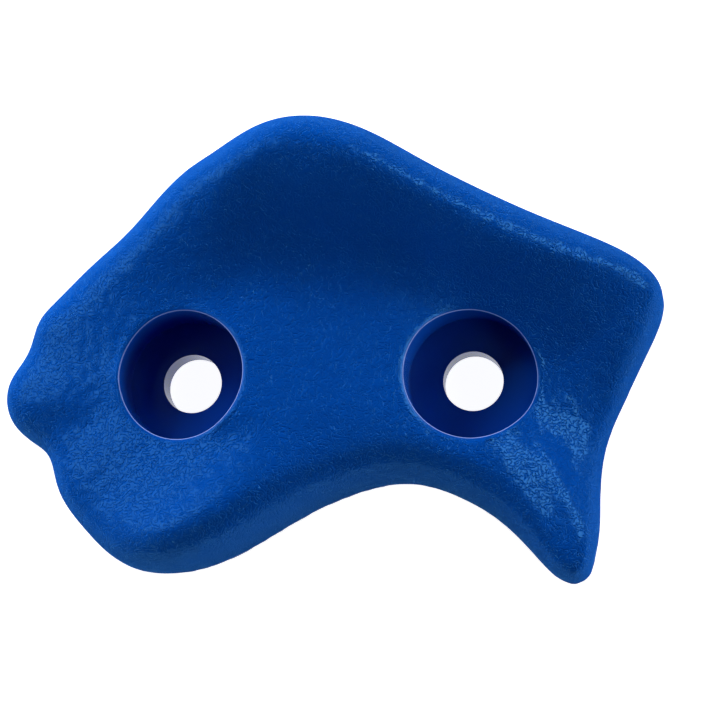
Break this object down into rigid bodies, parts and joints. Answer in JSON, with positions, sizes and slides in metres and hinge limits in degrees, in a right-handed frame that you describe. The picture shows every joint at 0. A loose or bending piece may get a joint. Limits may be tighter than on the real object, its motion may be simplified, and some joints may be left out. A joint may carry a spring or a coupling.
{
  "type": "climbing hold",
  "caption": "Small screw-on climbing hold with a sculpted grip face, a lip over a finger scoop, and counterbored screw holes.",
  "frame": {"origin": "midway between the two screw holes, on the plane of the back rim that rests on the wall", "axes": "+X along the line through both screw holes towards the fin side, +Y towards the tall lip, +Z out of the wall"},
  "size_m": [0.1177, 0.08, 0.0269],
  "materials": {
    "plastic_blue": "satin"
  },
  "bodies": {
    "root": {"hold_body": "plastic_blue"}
  },
  "joints": []
}
